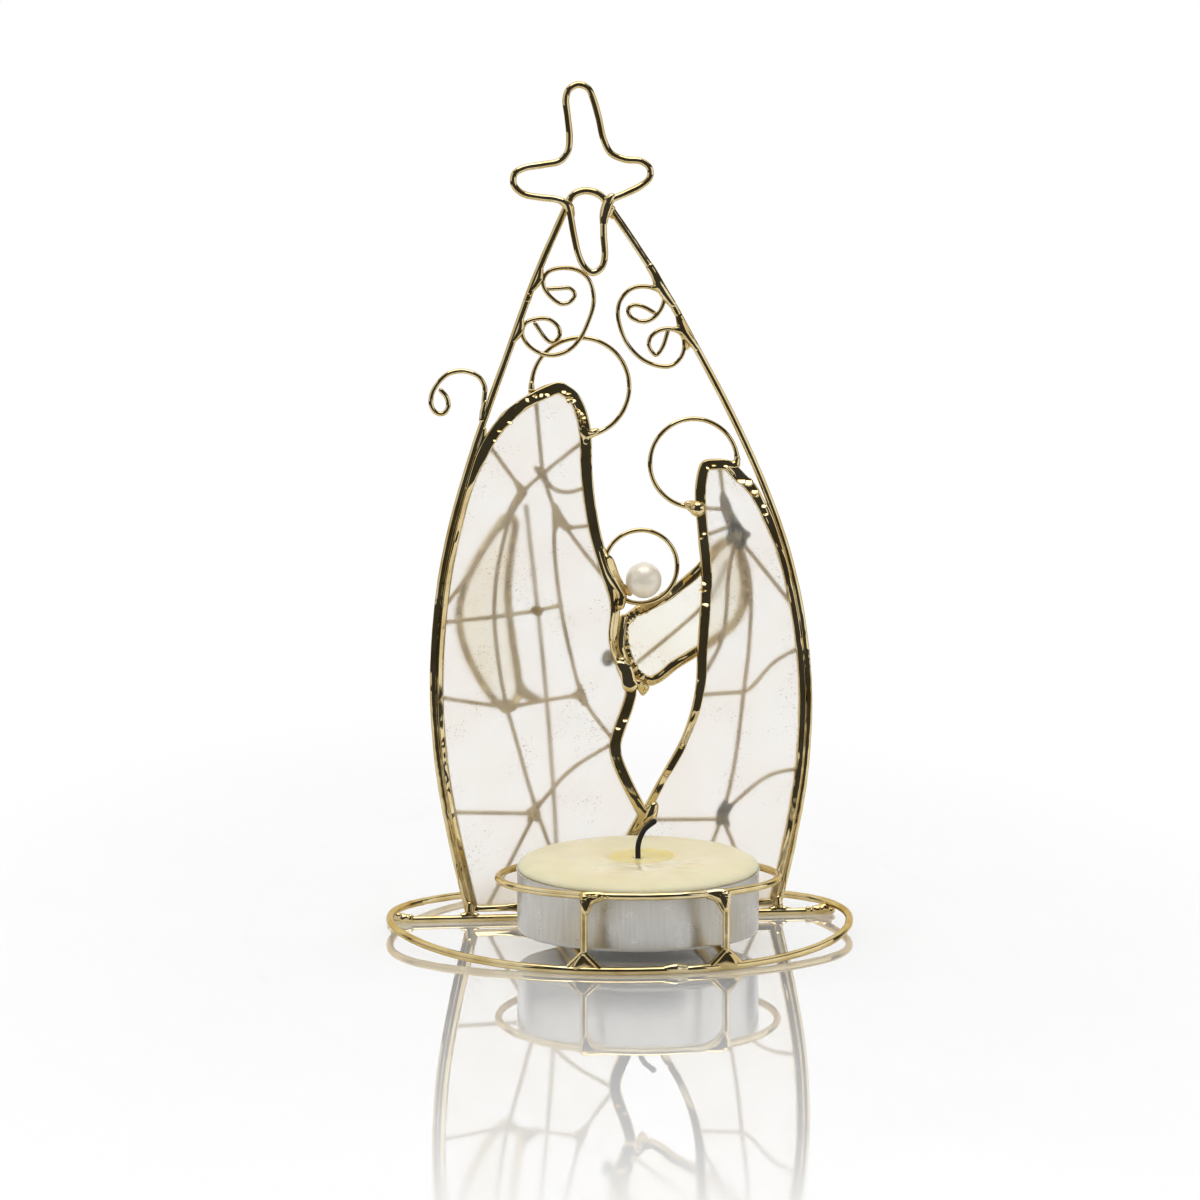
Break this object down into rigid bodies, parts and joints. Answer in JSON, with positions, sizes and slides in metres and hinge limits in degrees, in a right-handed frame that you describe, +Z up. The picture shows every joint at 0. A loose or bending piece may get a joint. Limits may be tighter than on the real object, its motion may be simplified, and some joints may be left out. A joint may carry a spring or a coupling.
{
  "type": "tealight holder",
  "caption": "Free-standing gold wire and ivory shell tealight holder: robed nativity figures under a pointed star-topped arch, with a lift-out tealight in front.",
  "frame": {"origin": "on the floor, at the middle of the base ring", "axes": "+X to the right along the cross bar, +Y to the back, from the tealight to the panels, +Z up"},
  "size_m": [0.0754, 0.0754, 0.1367],
  "materials": {
    "gold_wire": "bright pale gold plating over soldered wire",
    "shell": "ivory capiz shell, translucent, satin",
    "cup_aluminium": "drawn aluminium, satin",
    "wax": "cream wax, slightly glossy",
    "tab_steel": "thin tin plate",
    "wick": "burnt cotton",
    "pearl": "pearl lustre"
  },
  "bodies": {
    "holder": {"base_ring": "gold_wire", "candle_ring": "gold_wire", "child_halo": "gold_wire", "cross_bar": "gold_wire", "left_arm_came": "gold_wire", "left_arm_shell": "shell", "left_back_fold_wire": "gold_wire", "left_breast_wire": "gold_wire", "left_chest_wire": "gold_wire", "left_collar_wire": "gold_wire", "left_figure_came": "gold_wire", "left_figure_shell": "shell", "left_front_fold_wire": "gold_wire", "left_halo": "gold_wire", "left_hem_brace_inner": "gold_wire", "left_hem_brace_outer": "gold_wire", "left_hem_wire": "gold_wire", "left_knee_wire_inner": "gold_wire", "left_knee_wire_outer": "gold_wire", "left_neck_wire": "gold_wire", "left_rail_and_post": "gold_wire", "left_rear_fold_wire": "gold_wire", "left_sash_wire": "gold_wire", "left_scroll": "gold_wire", "left_shoulder_wire": "gold_wire", "left_waist_wire_inner": "gold_wire", "left_waist_wire_outer": "gold_wire", "outer_arch": "gold_wire", "pearl_head": "pearl", "right_arm_came": "gold_wire", "right_arm_crease_wire": "gold_wire", "right_arm_shell": "shell", "right_chest_wire": "gold_wire", "right_collar_wire": "gold_wire", "right_figure_came": "gold_wire", "right_figure_shell": "shell", "right_front_fold_wire": "gold_wire", "right_halo": "gold_wire", "right_hem_brace": "gold_wire", "right_hem_wire_inner": "gold_wire", "right_hem_wire_outer": "gold_wire", "right_knee_wire_inner": "gold_wire", "right_knee_wire_outer": "gold_wire", "right_rail_and_post": "gold_wire", "right_scroll": "gold_wire", "right_shoulder_wire": "gold_wire", "right_spine_wire": "gold_wire", "shepherd_crook": "gold_wire", "star": "gold_wire"},
    "tealight_cup": {"tealight_cup": "cup_aluminium"},
    "candle": {"candle_wax": "wax", "wick": "wick", "wick_tab": "tab_steel"}
  },
  "joints": [
    {"name": "tealight_lift", "type": "slide", "parent": "holder", "child": "tealight_cup", "axis": [0, 0, 1], "range_m": [0, 0.03]},
    {"name": "candle_lift", "type": "slide", "parent": "tealight_cup", "child": "candle", "axis": [0, 0, 1], "range_m": [0, 0.015]}
  ]
}
